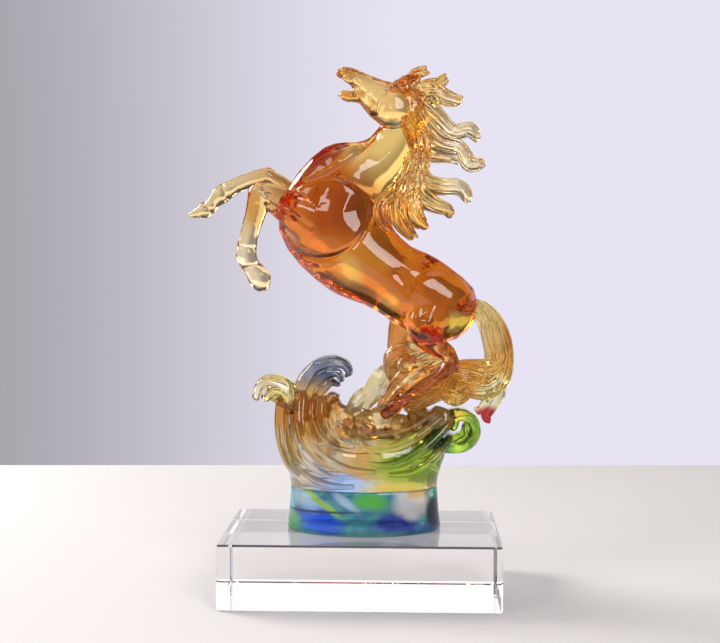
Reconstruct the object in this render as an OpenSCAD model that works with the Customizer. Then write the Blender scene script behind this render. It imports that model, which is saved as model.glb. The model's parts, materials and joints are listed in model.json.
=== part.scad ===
// Cast glass figurine: a rearing horse on a breaking wave, bonded to a clear bevelled plinth.
// Frame: millimetres, +Z up, the horse faces -X, origin at the centre of the plinth's underside.

/* [Plinth] */
// Length of the clear block, along X
plinth_l = 150; // [130:5:170]
// Depth of the clear block, along Y
plinth_d = 90; // [80:5:110]
// Height of the clear block
plinth_h = 35; // [25:1:45]
// Width of the polished bevel along every edge
bevel = 1; // [0.5:0.5:4]

/* [Bond film] */
// Thickness of the clear adhesive film under the casting
film_t = 0.3; // [0.2:0.1:0.5]

/* [Casting foot] */
// Length of the oval foot where it meets the film
foot_l = 85; // [80:1:90]
// Depth of the oval foot where it meets the film
foot_d = 52; // [48:1:56]
// Draft of the foot: how much each side draws in at its top
foot_draft = 2; // [1:0.5:3]

/* [Horse] */
// Fullness of the trunk and limbs across Y, as a factor
fullness = 1; // [0.9:0.05:1.1]
// Distance of the near and far legs from the middle plane
stance = 12; // [10:0.5:13]

/* [Hidden] */

// The swell starts at this height above the plinth
foot_top = 24;
// Radius of the round cheeks
cheek_r = 9.5;
// Sides of the cross-sections
trunk_n = 24;
head_n = 16;
limb_n = 12;
lock_n = 8;
oval_n = 40;

// Every station is [x, y, z, half height in the XZ plane, half width across],
// measured from the middle of the plinth's top face.

// Trunk from the rump forward to the poll
TRUNK = [
    [45, 0, 122, 20, 16], [30, 0, 131, 21.5, 17.5], [14, 0, 140, 20.5, 16.5],
    [-2, 0, 150.5, 25, 17.5], [-17.5, 0, 171, 29, 18], [-5, 0, 193.5, 23, 14],
    [10, 0, 201.5, 15, 10.5], [19, 0, 213, 12.5, 8.5], [26, 0, 227, 10, 7], [27, 0, 234, 8, 6]
];
// Where the trunk's sections meet, in stations
loin_at = 1.4;
girth_at = 3.2;
neck_at = 4.8;

HEAD = [
    [26, 0, 234, 9, 6], [18, 0, 232, 12.5, 8], [10, 0, 235.5, 11, 7.5],
    [3, 0, 241, 8, 6], [-3, 0, 246.5, 5, 5], [-8, 0, 249, 4.2, 4.6], [-11, 0, 249.5, 3, 3.6]
];
LOWER_JAW = [
    [7, 0, 232, 5, 4.6], [0, 0, 236, 3.2, 4], [-6, 0, 236.8, 2.8, 3.4], [-11, 0, 238, 2, 2.6]
];
EAR = [[19, 3.5, 243, 2.8, 2.2], [25, 5.5, 245.5, 3, 2.4], [31, 7.5, 246.5, 1.6, 1.4]];

FORE_NEAR = [
    [-24, -10, 167, 12, 7], [-36, -13, 174.5, 10, 7], [-47, -14, 181.5, 7.6, 6], [-55, -14, 184, 6.6, 5.4]
];
CANNON_NEAR = [
    [-54, -14, 184.5, 6.8, 5.6], [-57, -14, 173, 5.8, 4.8], [-60.5, -14, 161, 5.2, 4.2],
    [-62, -14, 151, 6, 4.8], [-59, -14, 144.5, 5, 4.4], [-55, -14, 139, 6.6, 5.2], [-54, -14, 136, 5.4, 4.8]
];
FORE_FAR = [
    [-26, 10, 182, 10, 7], [-38, 12, 185, 5.5, 5], [-46, 13, 191, 4.2, 4.4], [-54, 13, 195, 4.6, 4.8]
];
CANNON_FAR = [
    [-53, 13, 195, 4.8, 4.8], [-61, 13, 193, 4.8, 4.4], [-71, 13, 189.5, 4.4, 4], [-80, 13, 184, 5.6, 4.6],
    [-84, 13, 179.5, 3.8, 3.8], [-89, 13, 175.5, 4.8, 4.6], [-96, 13, 173.4, 1.8, 3]
];
THIGH_NEAR = [
    [40, -7, 126, 17, 9], [35, -11, 113, 12, 8.5], [38, -13, 104, 7, 6.5], [47, -13, 98, 4.6, 4.8],
    [49, -13, 92, 4.2, 4.4]
];
SHANK_NEAR = [
    [49, -13, 92, 4.4, 4.4], [39, -13, 84, 3.4, 3.6], [28, -14, 76.5, 3.4, 3.4], [21, -14, 72, 4.2, 4],
    [17, -14, 69, 4.6, 4.2], [14, -14, 66, 4, 4]
];
THIGH_FAR = [
    [32, 7, 125, 16, 8], [24, 11, 112, 10, 7], [20, 12, 100, 6.5, 6], [21, 12, 91, 7, 6.2]
];
SHANK_FAR = [
    [22, 12, 92, 7.5, 6.2], [21, 12, 84, 5.4, 5], [18, 12, 76, 4.6, 4.4], [15, 12, 70, 5, 4.8],
    [12, 12, 65, 4.6, 4.6]
];

// Locks of hair: [start, ..., tip]
FORELOCK = [
    [[31, -2, 239, 4, 4], [27, -3, 245, 3.4, 3.4], [29, -3, 249, 2.6, 3], [34, -3, 251.5, 1.2, 1.4]],
    [[30, 2, 238, 4, 4], [35, 3, 243, 3.8, 3.8], [41, 3, 244.5, 3, 3], [45, 2, 247, 1.2, 1.4]],
    [[29, -2, 238, 5, 4.5], [38, -2, 239.5, 4.8, 4.2], [46, -1, 236, 3.8, 3.6], [54, 0, 233.5, 1.6, 1.8]]
];
MANE_CREST = [
    [[27, 0, 236, 6, 5.5], [34, 0, 231, 7, 5.5], [42, 0, 224, 6, 5], [50, 1, 217.5, 4.6, 4.4],
        [58, 1, 218.5, 4, 3.6], [63.5, 1, 214, 1.8, 1.8]],
    [[29, -2, 229, 6, 5], [34, -3, 219, 7, 5.5], [43, -2, 211, 6, 5], [53, -1, 208, 5, 4.2],
        [58, 0, 200, 4.4, 3.8], [66.5, 0, 199.5, 1.6, 1.8]],
    [[28, 3, 228, 6, 5], [32, 5, 216, 6.5, 5], [37, 6, 207, 5.5, 4.5], [47, 6, 204.5, 3.4, 3],
        [54, 6, 202, 1.4, 1.4]],
    [[27, -3, 218, 7, 5.5], [31, -5, 208, 7, 5.5], [31, -6, 199, 5.5, 5], [29, -7, 192, 5, 4.5]]
];
MANE_FALL = [
    [[28, -3, 202, 7, 5.5], [34, -4, 191, 6, 5.5], [44, -4, 188, 4.8, 4.6], [54, -3, 187, 3.8, 3.8],
        [58, -3, 179.5, 1.6, 1.6]],
    [[27, -4, 196, 7, 6], [31, -6, 184, 6.5, 5.6], [39, -6, 178.5, 4.6, 4.4], [46, -5, 175, 3.2, 3.2],
        [47.5, -5, 172, 1.4, 1.4]],
    [[26, -6, 193, 7, 6], [26, -10, 180, 7, 5.6], [29, -11, 171, 5, 4.6], [35, -10, 166, 2, 2]],
    [[24, -7, 190, 7, 6], [20, -12, 178, 6, 5], [22, -13, 168, 4.6, 4], [28, -12, 160, 2, 2]],
    [[20, -8, 186, 6, 5], [12, -14, 179, 4.6, 4.4], [11, -16, 171, 4, 4], [16, -15, 164, 2, 2]],
    [[24, 4, 194, 7, 6], [20, 9, 180, 6, 5.4], [22, 11, 168, 4.4, 4], [28, 10, 161, 1.8, 2]]
];
TAIL_ROOT = [
    [56, 0, 124, 6, 6], [64, 0, 122.5, 5, 6], [71, 0, 115, 6.4, 6.6], [74.5, 0, 105, 7.6, 7.4],
    [75, 0, 96, 8, 8]
];
TAIL_SWEEP = [
    [[75, -2, 101, 7.5, 6.5], [77, -2, 93, 6, 6.5], [71, -3, 88.5, 6.4, 6], [60, -4, 88.5, 6, 5.4],
        [49, -4, 87.5, 5, 5]],
    [[77, 1, 100, 5, 6], [79, 1, 89, 4.6, 6], [75, 0, 80, 5.4, 6], [66, -2, 76.5, 5.6, 5.4],
        [56, -4, 78, 5.2, 5]],
    [[72, 5, 100, 6.5, 6], [73, 7, 89, 6, 6], [62, 8, 82, 6.4, 5.4], [48, 8, 79, 6.4, 5],
        [36, 7, 73, 5, 4.6]],
    [[58, -5, 82, 6, 4.6], [48, -6, 77, 6, 4.6], [38, -7, 73.5, 5, 4.4], [28, -8, 69, 4, 4]]
];
TAIL_TIP = [
    [76, 0, 82, 3.6, 3.6], [75, 2, 75, 4.4, 4], [71, 3, 67, 3, 3], [67, 2, 62, 2.4, 2.4],
    [70, 2, 60.5, 1.6, 1.6]
];

// The wave
SWELL = [
    [1, 0, 24, 40.5, 24], [1, 0, 31, 41.5, 24], [1, 0, 40, 44.5, 23], [1, 0, 48, 46, 20], [1, 0, 52, 43, 16]
];
RIBS = [
    [[-44, -4, 72, 3, 4], [-45, -5, 57, 3.4, 4.4], [-42, -9, 43, 3.6, 4.4], [-34, -15, 33, 3.6, 4.4],
        [-20, -21, 29, 3.2, 4], [0, -24, 28, 2.4, 3.4]],
    [[-39, -8, 73, 3.6, 4.4], [-39, -10, 58, 4, 4.6], [-34, -15, 45, 4.2, 4.6], [-24, -20, 37, 3.8, 4.4],
        [-4, -23, 34, 2.8, 3.6]],
    [[-31, -10, 76, 4.2, 4.6], [-31, -12, 60, 4.6, 5], [-26, -17, 49, 4.6, 4.8], [-14, -21, 41, 3.6, 4.2]],
    [[-22, -10, 72, 4.2, 4.6], [-22, -13, 60, 4.4, 5], [-16, -18, 51, 3.8, 4.2]]
];
RIBBONS = [
    [[-3, -18, 57, 2.6, 3], [5, -19, 52, 3.4, 4], [18, -20, 51.5, 3.6, 4.4], [32, -18, 56, 3.4, 4.2],
        [44, -14, 65, 2.4, 3]],
    [[0, -22, 46, 2.6, 3], [10, -23, 42.5, 3.4, 4], [22, -22, 43, 3.6, 4], [35, -19, 49, 3.4, 4],
        [47, -12, 60, 2.6, 3]],
    [[14, -24, 35, 2.6, 3], [28, -22, 36.5, 3, 3.6], [40, -17, 43, 2.8, 3.4], [48, -10, 51, 2, 2.6]]
];
LEFT_CREST = [
    [[-38, -2, 68, 3.6, 8], [-40.5, -2, 78.5, 3.4, 9], [-47.5, -2, 82.5, 3.2, 9.5], [-54.5, -2, 81, 3, 9],
        [-58, -2, 74, 2.4, 7]],
    [[-39, -2, 67, 3, 7.5], [-42.5, -2, 75.5, 3, 8.5], [-48.5, -2, 76.5, 3, 8.5], [-52, -2, 73, 2.4, 7]]
];
BLUE_CREST = [
    [[-34, 2, 64, 4, 8], [-34, 2, 74, 4, 9], [-31, 2, 83.5, 3.8, 9.5], [-24, 2, 90.5, 3.6, 9.5],
        [-15, 2, 92.5, 3, 9], [-9, 2, 88, 2.4, 7]],
    [[-28, 2, 64, 4.4, 8], [-28, 2, 73, 4.2, 8.5], [-25, 2, 80.5, 3.8, 9], [-18, 2, 85.5, 3.2, 8.5],
        [-12.5, 2, 83, 2.2, 7]],
    [[-22, 2, 64, 4, 7.5], [-21.5, 2, 71, 3.6, 8], [-18, 2, 76.5, 3, 8], [-14.5, 2, 77, 2, 6]]
];
GREEN_CURL = [
    [40, -3, 49, 5, 8], [49, -3, 47.5, 4.4, 8.5], [57, -3, 48.5, 4, 8.5], [62, -3, 54, 3.8, 8],
    [60.5, -3, 60.5, 3.4, 7.5], [55, -3, 61.5, 3, 7]
];
// Petals and rocks: [x, y, z, half length, half depth, half height]
PETALS = [[-1, 4, 71.5, 7.5, 6, 8.5], [9, 7, 78, 8, 6, 11], [16, 9, 84, 6, 5, 7]];
ROCKS = [
    [-11, -5, 58, 7, 9, 11], [2, -6, 56, 8, 9, 10], [11, -4, 60, 7, 9, 9], [32, -1, 57, 8, 10, 9],
    [43, -5, 61, 8, 8, 7], [-8, 8, 56, 9, 8, 9], [33, 10, 54, 8, 7, 8]
];
FOAM = [[32, 4, 86, 12, 8, 9], [27, 2, 75, 12, 9, 9], [44, 4, 84, 9, 8, 8]];

// ---- Curves ----

// Station number i, held at the ends of the list
function held(s, i) = s[max(0, min(len(s) - 1, i))];

// A smooth curve through four neighbouring stations, t from 0 to 1 between b and c
function curve(a, b, c, d, t) =
    0.5 * (2 * b + (c - a) * t + (2 * a - 5 * b + 4 * c - d) * t * t + (3 * b - a - 3 * c + d) * t * t * t);

// The station at running number u
function station(s, u) =
    let (i = min(floor(u), len(s) - 2))
    curve(held(s, i - 1), held(s, i), held(s, i + 1), held(s, i + 2), u - i);

function place(p) = [p[0], p[1], p[2]];
function unit(v) = v / norm(v);

// The direction of travel at running number u, taken over d stations each way
function heading(s, u, d) =
    unit(place(station(s, min(u + d, len(s) - 1))) - place(station(s, max(u - d, 0))));

// An oval of n points round c, square to the direction t: a in the XZ plane, b across it
function oval(c, t, a, b, n) =
    let (v = unit([0, 1, 0] - t * t[1]), w = cross(v, t))
    [for (k = [0:n - 1]) c + w * a * cos(360 * k / n) + v * b * sin(360 * k / n)];

// Rings that round off an end: side is -1 at the start and 1 at the tip
function cap_rings(p, t, side, n) =
    let (depth = (p[3] + p[4]) / 2, turns = side < 0 ? [80, 55, 28] : [28, 55, 80])
    [for (q = turns) oval(place(p) + side * depth * sin(q) * t, t, p[3] * cos(q), p[4] * cos(q), n)];

// Rings along the stations from running number u0 to u1, with steps for each station.
// A larger d turns the rings more slowly than the path, for a thick form on a tight bend.
function rings(s, u0, u1, steps, n, round0, round1, d = 0.1) =
    let (m = ceil((u1 - u0) * steps))
    concat(
        round0 ? cap_rings(station(s, u0), heading(s, u0, d), -1, n) : [],
        [for (j = [0:m])
            let (u = u0 + (u1 - u0) * j / m, p = station(s, u))
            oval(place(p), heading(s, u, d), p[3], p[4], n)],
        round1 ? cap_rings(station(s, u1), heading(s, u1, d), 1, n) : []
    );

// ---- Solids ----

module skin(r) {
    n = len(r[0]);
    m = len(r);
    polyhedron(
        points = [for (row = r) each row],
        faces = concat(
            [[for (k = [0:n - 1]) k]],
            [for (i = [0:m - 2], k = [0:n - 1])
                let (a = i * n + k, b = i * n + (k + 1) % n)
                each [[a, a + n, b + n], [a, b + n, b]]],
            [[for (k = [n - 1:-1:0]) (m - 1) * n + k]]
        )
    );
}

// A limb, lock or band along its stations, widened across Y by the factor wide
module sweep(s, n = limb_n, steps = 3, wide = 1)
    skin(rings([for (p = s) [p[0], p[1], p[2], p[3], p[4] * wide]], 0, len(s) - 1, steps, n, true, true));

module sweeps(list, n, steps)
    for (s = list) sweep(s, n, steps);

// A rounded lump at p = [x, y, z, half length, half depth, half height]
module lump(p, n = lock_n)
    skin([for (q = [-80, -52, -26, 0, 26, 52, 80])
        oval([p[0], p[1], p[2] + p[5] * sin(q)], [0, 0, 1], p[3] * cos(q), p[4] * cos(q), n)]);

// Children joined into one solid
module fused() resize([0, 0, 0]) union() children();

// The first child, with the others cut away
module carved() resize([0, 0, 0]) difference() {
    children(0);
    children([1:$children - 1]);
}

// The casting's own frame stands on the plinth
module on_plinth() translate([0, 0, plinth_h]) children();

module mirror_y(copies = [1, -1])
    for (side = copies) scale([1, side, 1]) children();

// ---- Shapes that more than one node needs ----

module trunk_part(u0, u1, round0, round1) {
    wide = [for (p = TRUNK) [p[0], p[1], p[2], p[3], p[4] * fullness]];
    skin(rings(wide, u0, u1, 4, trunk_n, round0, round1, 1));
}
module trunk_form() trunk_part(0, len(TRUNK) - 1, true, true);

module head_form() {
    sweep(HEAD, head_n, 2, fullness);
    mirror_y() translate([17, 2, 229]) rotate([90, 0, 0])
        lump([0, 0, 0, cheek_r, cheek_r, 6.5 * fullness], limb_n);
}

module ears_form() mirror_y() sweep(EAR, 6, 2);

module leg_form(upper, lower, side) {
    shift = side * (stance - 12);
    translate([0, shift, 0]) {
        sweep(upper, limb_n, 2, fullness);
        sweep(lower, limb_n, 2, fullness);
    }
}

module foot_form() {
    base = [foot_l / 2, foot_d / 2];
    top = base - [foot_draft, foot_draft];
    skin([
        oval([1, 0, film_t], [0, 0, 1], base[0], base[1], oval_n),
        oval([1, 0, (film_t + foot_top) / 2], [0, 0, 1], top[0] + 0.6, top[1] + 0.6, oval_n),
        oval([1, 0, foot_top], [0, 0, 1], top[0], top[1], oval_n)
    ]);
}

module swell_form() skin(rings(SWELL, 0, len(SWELL) - 1, 2, oval_n, false, false));

module ribs_form(side) mirror_y([side]) sweeps(RIBS, lock_n, 2);
module ribbons_form() mirror_y() sweeps(RIBBONS, lock_n, 2);
module wave_forms() {
    swell_form();
    ribs_form(1);
    ribs_form(-1);
}
module left_crest_form() sweeps(LEFT_CREST, lock_n, 2);
module curl_form() sweep(GREEN_CURL, limb_n, 3);
module petal_forms() for (p = PETALS) lump(p);
module rock_forms() for (p = ROCKS) lump(p);
module foam_forms() for (p = FOAM) lump(p);

module hind_legs_form() {
    leg_form(THIGH_NEAR, SHANK_NEAR, -1);
    leg_form(THIGH_FAR, SHANK_FAR, 1);
}
module forelock_form() sweeps(FORELOCK, lock_n, 2);
module crest_hair_form() sweeps(MANE_CREST, lock_n, 2);
module tail_root_form() sweep(TAIL_ROOT, limb_n, 3);
module tail_form() sweeps(TAIL_SWEEP, lock_n, 3);

// ---- Nodes ----

module plinth() color("lavender", 0.4)
    difference() {
        translate([-plinth_l / 2, -plinth_d / 2, 0]) cube([plinth_l, plinth_d, plinth_h]);
        for (x = [-1, 1], z = [0, 1])
            translate([x * plinth_l / 2, 0, z * plinth_h]) rotate([0, 45, 0])
                cube([bevel * sqrt(2), plinth_d + 2, bevel * sqrt(2)], center = true);
        for (y = [-1, 1], z = [0, 1])
            translate([0, y * plinth_d / 2, z * plinth_h]) rotate([45, 0, 0])
                cube([plinth_l + 2, bevel * sqrt(2), bevel * sqrt(2)], center = true);
        for (x = [-1, 1], y = [-1, 1])
            translate([x * plinth_l / 2, y * plinth_d / 2, plinth_h / 2]) rotate([0, 0, 45])
                cube([bevel * sqrt(2), bevel * sqrt(2), plinth_h + 2], center = true);
    }

module bond_film() color("white", 0.5) on_plinth()
    skin([for (z = [0, film_t]) oval([1, 0, z], [0, 0, 1], foot_l / 2, foot_d / 2, oval_n)]);

module casting_foot() color("royalblue") on_plinth() foot_form();

module swell() color("yellowgreen") on_plinth() swell_form();

module front_ribs() color("tan") on_plinth() carved() {
    ribs_form(1);
    swell_form();
    foot_form();
}
module back_ribs() color("tan") on_plinth() carved() {
    ribs_form(-1);
    swell_form();
    foot_form();
}
module ribbon_waves() color("olivedrab") on_plinth() carved() {
    ribbons_form();
    swell_form();
}
module left_crest() color("khaki") on_plinth() carved() {
    left_crest_form();
    wave_forms();
}
module blue_crest() color("slategray") on_plinth() carved() {
    sweeps(BLUE_CREST, lock_n, 2);
    wave_forms();
    left_crest_form();
}
module green_curl() color("limegreen") on_plinth() carved() {
    curl_form();
    swell_form();
    ribbons_form();
}
module spray_petals() color("lemonchiffon") on_plinth() carved() {
    petal_forms();
    swell_form();
    hind_legs_form();
}
module splash_rocks() color("goldenrod") on_plinth() carved() {
    rock_forms();
    swell_form();
    petal_forms();
    hind_legs_form();
}
module leg_foam() color("peru") on_plinth() carved() {
    foam_forms();
    swell_form();
    petal_forms();
    rock_forms();
    hind_legs_form();
    tail_form();
}

module rump() color("darkgoldenrod") on_plinth() trunk_part(0, loin_at, true, false);
module barrel() color("darkorange") on_plinth() trunk_part(loin_at, girth_at, false, false);
module chest() color("chocolate") on_plinth() trunk_part(girth_at, neck_at, false, false);
module neck() color("goldenrod") on_plinth() carved() {
    trunk_part(neck_at, len(TRUNK) - 1, false, true);
    head_form();
}
module head() color("gold") on_plinth() fused() head_form();
module lower_jaw() color("orange") on_plinth() carved() {
    sweep(LOWER_JAW, limb_n, 3, fullness);
    head_form();
    trunk_form();
}
module ears() color("darkorange") on_plinth() carved() {
    ears_form();
    head_form();
    trunk_form();
}

module fore_leg_near() color("khaki") on_plinth() carved() {
    leg_form(FORE_NEAR, CANNON_NEAR, -1);
    trunk_form();
}
module fore_leg_far() color("palegoldenrod") on_plinth() carved() {
    leg_form(FORE_FAR, CANNON_FAR, 1);
    trunk_form();
}
module hind_leg_near() color("saddlebrown") on_plinth() carved() {
    leg_form(THIGH_NEAR, SHANK_NEAR, -1);
    trunk_form();
    wave_forms();
}
module hind_leg_far() color("peru") on_plinth() carved() {
    leg_form(THIGH_FAR, SHANK_FAR, 1);
    leg_form(THIGH_NEAR, SHANK_NEAR, -1);
    trunk_form();
    wave_forms();
}

module mane_forelock() color("wheat") on_plinth() carved() {
    forelock_form();
    trunk_form();
    head_form();
    ears_form();
}
module mane_crest() color("burlywood") on_plinth() carved() {
    crest_hair_form();
    trunk_form();
    head_form();
    forelock_form();
    ears_form();
}
module mane_fall() color("sandybrown") on_plinth() carved() {
    sweeps(MANE_FALL, lock_n, 2);
    trunk_form();
    crest_hair_form();
    leg_form(FORE_NEAR, CANNON_NEAR, -1);
}
module tail_root() color("palegoldenrod") on_plinth() carved() {
    tail_root_form();
    trunk_form();
}
module tail_sweep() color("coral") on_plinth() carved() {
    tail_form();
    tail_root_form();
    trunk_form();
    hind_legs_form();
    wave_forms();
    curl_form();
}
module tail_tip() color("firebrick") on_plinth() carved() {
    sweep(TAIL_TIP, lock_n, 3);
    tail_form();
    curl_form();
}

plinth();
bond_film();
casting_foot();
swell();
front_ribs();
back_ribs();
ribbon_waves();
left_crest();
blue_crest();
spray_petals();
splash_rocks();
leg_foam();
green_curl();
rump();
barrel();
chest();
neck();
head();
lower_jaw();
ears();
fore_leg_near();
fore_leg_far();
hind_leg_near();
hind_leg_far();
mane_forelock();
mane_crest();
mane_fall();
tail_root();
tail_sweep();
tail_tip();
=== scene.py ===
"""A cast glass horse rearing on a breaking wave, bonded to a clear bevelled plinth.

Lengths are millimetres until a mesh is finished, and the casting's stations are measured
from the middle of the plinth's top face. X runs along the plinth, the horse faces -X, and
Z is up.
"""

import json
import logging
import math
from dataclasses import dataclass
from enum import Enum
from typing import Optional, Sequence

import bmesh
import bpy
import numpy as np
from mathutils import Matrix, Vector

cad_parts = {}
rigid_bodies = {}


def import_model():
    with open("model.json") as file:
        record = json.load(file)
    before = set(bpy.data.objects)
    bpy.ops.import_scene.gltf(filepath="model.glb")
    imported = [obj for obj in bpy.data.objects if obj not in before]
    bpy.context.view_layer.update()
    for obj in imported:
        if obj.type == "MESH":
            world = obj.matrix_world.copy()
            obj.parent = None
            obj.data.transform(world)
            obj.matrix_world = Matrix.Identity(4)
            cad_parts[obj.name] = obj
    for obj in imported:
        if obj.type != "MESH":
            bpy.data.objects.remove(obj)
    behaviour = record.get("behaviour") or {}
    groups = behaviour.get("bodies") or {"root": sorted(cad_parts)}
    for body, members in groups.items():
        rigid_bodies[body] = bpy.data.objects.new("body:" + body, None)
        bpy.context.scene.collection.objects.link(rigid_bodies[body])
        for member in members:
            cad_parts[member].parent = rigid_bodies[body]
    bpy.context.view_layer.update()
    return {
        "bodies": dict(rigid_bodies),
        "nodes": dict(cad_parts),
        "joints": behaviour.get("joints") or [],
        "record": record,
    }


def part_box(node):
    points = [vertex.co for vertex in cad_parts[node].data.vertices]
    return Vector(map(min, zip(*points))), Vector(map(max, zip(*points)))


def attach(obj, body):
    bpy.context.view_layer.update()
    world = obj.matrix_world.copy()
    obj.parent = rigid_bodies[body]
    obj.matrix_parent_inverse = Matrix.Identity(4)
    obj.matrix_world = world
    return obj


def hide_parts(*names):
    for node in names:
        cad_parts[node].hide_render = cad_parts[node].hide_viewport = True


log = logging.getLogger("glass_horse")

MM = 0.001
Colour = tuple[float, float, float]
Point = tuple[float, float, float]
Station = tuple[float, float, float, float, float]


class Side(Enum):
    """Which side of the middle plane a mark is pressed into."""

    NEAR = -1
    BOTH = 0
    FAR = 1


# ---- Paths and swept glass ----


@dataclass(frozen=True)
class Path:
    """A smooth path through stations of [x, y, z, half height in XZ, half width across]."""

    stations: tuple[Station, ...]

    @property
    def last(self) -> int:
        """Number of the last station."""
        return len(self.stations) - 1

    def at(self, u: float) -> np.ndarray:
        """Interpolate the stations.

        Args:
            u: Running number along the stations, from 0 to last.

        Returns:
            The five values of the station at u.
        """
        u = min(max(u, 0.0), float(self.last))
        i = min(int(u), self.last - 1)
        t = u - i
        a, b, c, d = (
            np.array(self.stations[min(max(k, 0), self.last)], dtype=float)
            for k in (i - 1, i, i + 1, i + 2)
        )
        return 0.5 * (
            2 * b
            + (c - a) * t
            + (2 * a - 5 * b + 4 * c - d) * t**2
            + (3 * b - a - 3 * c + d) * t**3
        )

    def heading(self, u: float, reach: float = 0.1) -> Vector:
        """Give the direction of travel.

        Args:
            u: Running number along the stations.
            reach: Stations each way that it is taken over.

        Returns:
            The unit direction at u.
        """
        ahead = self.at(min(u + reach, self.last))[:3]
        behind = self.at(max(u - reach, 0.0))[:3]
        return Vector(ahead - behind).normalized()

    def axes(self, u: float, reach: float = 0.1) -> tuple[Vector, Vector, Vector]:
        """Give the directions that a ring is set out by.

        Args:
            u: Running number along the stations.
            reach: Stations each way that the heading is taken over.

        Returns:
            The in-plane, across and travel directions.
        """
        travel = self.heading(u, reach)
        across = (Vector((0, 1, 0)) - travel * travel.y).normalized()
        return across.cross(travel), across, travel

    def ring(self, u: float, turn: float = 0.0, reach: float = 0.1, end: float = 0.0) -> Matrix:
        """Give the matrix that puts a unit profile on the path.

        Args:
            u: Running number along the stations.
            turn: Twist of the profile about the path, in radians.
            reach: Stations each way that the heading is taken over.
            end: Angle into a rounded end, in degrees, negative at the start.

        Returns:
            The matrix from the unit profile to the ring.
        """
        place = self.at(u)
        high, across, travel = self.axes(u, reach)
        shrink = math.cos(math.radians(end))
        depth = min(place[3], place[4]) * 1.3 * math.sin(math.radians(end))
        centre = Vector(place[:3]) + travel * depth
        frame = Matrix((high, across, travel)).transposed().to_4x4()
        size = Matrix.Diagonal((place[3] * shrink, place[4] * shrink, 1.0, 1.0))
        return Matrix.Translation(centre) @ frame @ size @ Matrix.Rotation(turn, 4, "Z")


@dataclass(frozen=True)
class Profile:
    """The cross-section of a swept form: an oval, or a squarer one, with soft lobes."""

    sides: int = 20
    lobes: int = 0
    depth: float = 0.0
    twist: float = 0.0
    power: float = 2.0

    def start(self, bm: bmesh.types.BMesh) -> list:
        """Make the first ring, closed by a face.

        Args:
            bm: The mesh to add to.

        Returns:
            The new vertices.
        """
        verts = bmesh.ops.create_circle(bm, cap_ends=True, segments=self.sides, radius=1.0)["verts"]
        for v in verts:
            angle = math.atan2(v.co.y, v.co.x)
            square = (abs(v.co.x) ** self.power + abs(v.co.y) ** self.power) ** (-1 / self.power)
            v.co *= square * (1 + self.depth * math.cos(self.lobes * angle))
        return verts


def drawn(profile: Profile, rings: Sequence[Matrix]) -> bmesh.types.BMesh:
    """Extrude a profile from ring to ring into a closed form.

    Args:
        profile: The cross-section.
        rings: The matrix from the unit profile to each ring.

    Returns:
        The closed mesh.
    """
    bm = bmesh.new()
    verts = profile.start(bm)
    edges = list(bm.edges)
    bmesh.ops.transform(bm, matrix=rings[0], verts=verts)
    for before, after in zip(rings, rings[1:]):
        made = bmesh.ops.extrude_edge_only(bm, edges=edges)["geom"]
        verts = [g for g in made if isinstance(g, bmesh.types.BMVert)]
        fresh = set(verts)
        edges = [
            g for g in made if isinstance(g, bmesh.types.BMEdge) and all(v in fresh for v in g.verts)
        ]
        bmesh.ops.transform(bm, matrix=after @ before.inverted(), verts=verts)
    bmesh.ops.edgeloop_fill(bm, edges=edges)
    bmesh.ops.recalc_face_normals(bm, faces=bm.faces)
    return bm


def sweep(path: Path, profile: Profile, steps: int = 5, reach: float = 0.1) -> bmesh.types.BMesh:
    """Draw a profile along a path into a closed form with rounded ends.

    Args:
        path: Where the form goes, in millimetres.
        profile: Its cross-section.
        steps: Rings for each station.
        reach: Stations each way that the heading is taken over.

    Returns:
        The closed mesh.
    """
    count = path.last * steps
    rings = [(0.0, end) for end in (-82, -62, -40, -20)]
    rings += [(path.last * j / count, 0.0) for j in range(count + 1)]
    rings += [(float(path.last), end) for end in (20, 40, 62, 82)]
    return drawn(
        profile, [path.ring(u, profile.twist * u / path.last, reach, end) for u, end in rings]
    )


@dataclass(frozen=True)
class Lock:
    """A lock of strands side by side, which part towards the tip."""

    path: Path
    strands: int = 4
    spread: float = 0.62
    fan: float = 0.35
    stagger: float = 0.5
    ripple: float = 0.35
    least: float = 1.1
    full: float = 0.90
    proud: float = 0.96

    def strand(self, index: int) -> Path:
        """Give the path of one strand.

        Args:
            index: Number of the strand, from 0.

        Returns:
            The strand's own path.
        """
        middle = (self.strands - 1) / 2
        across = (index - middle) / max(middle, 0.5)
        cut = self.stagger * (0.5 + 0.5 * math.sin(2.4 * index + self.path.stations[0][0]))
        end = self.path.last - cut
        count = max(4, 2 * self.path.last)
        made = []
        for j in range(count + 1):
            u = end * j / count
            t = j / count
            x, y, z, a, b = self.path.at(u)
            high, wide, _ = self.path.axes(u)
            shift = a * self.spread * across * (1 + self.fan * t * t)
            shift += self.ripple * math.sin(5.2 * t + 1.7 * index) * t
            lift = 0.10 * b * (1 if index % 2 else -1) * (1 - 0.5 * t)
            centre = Vector((x, y, z)) + high * shift + wide * lift
            slim = max(a * 1.3 / self.strands, self.least)
            made.append((centre.x, centre.y, centre.z, slim, max(b * self.proud, slim)))
        return Path(tuple(made))

    def core(self) -> Path:
        """Give the path of the solid glass that the strands lie in.

        Returns:
            The core's own path.
        """
        end = self.path.last - 0.35
        stations = [self.path.at(end * j / 8) for j in range(9)]
        return Path(tuple((x, y, z, a * 0.95, b * self.full) for x, y, z, a, b in stations))

    def build(self, profile: Profile, steps: int = 3) -> list[bmesh.types.BMesh]:
        """Sweep the core and every strand of the lock."""
        strands = [sweep(self.strand(i), profile, steps) for i in range(self.strands)]
        return [sweep(self.core(), Profile(sides=24), 2), *strands]


# ---- Finishing meshes into pieces ----


def plinth_top() -> float:
    """Give the height of the plinth's top face, in metres."""
    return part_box("plinth")[1].z


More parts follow.
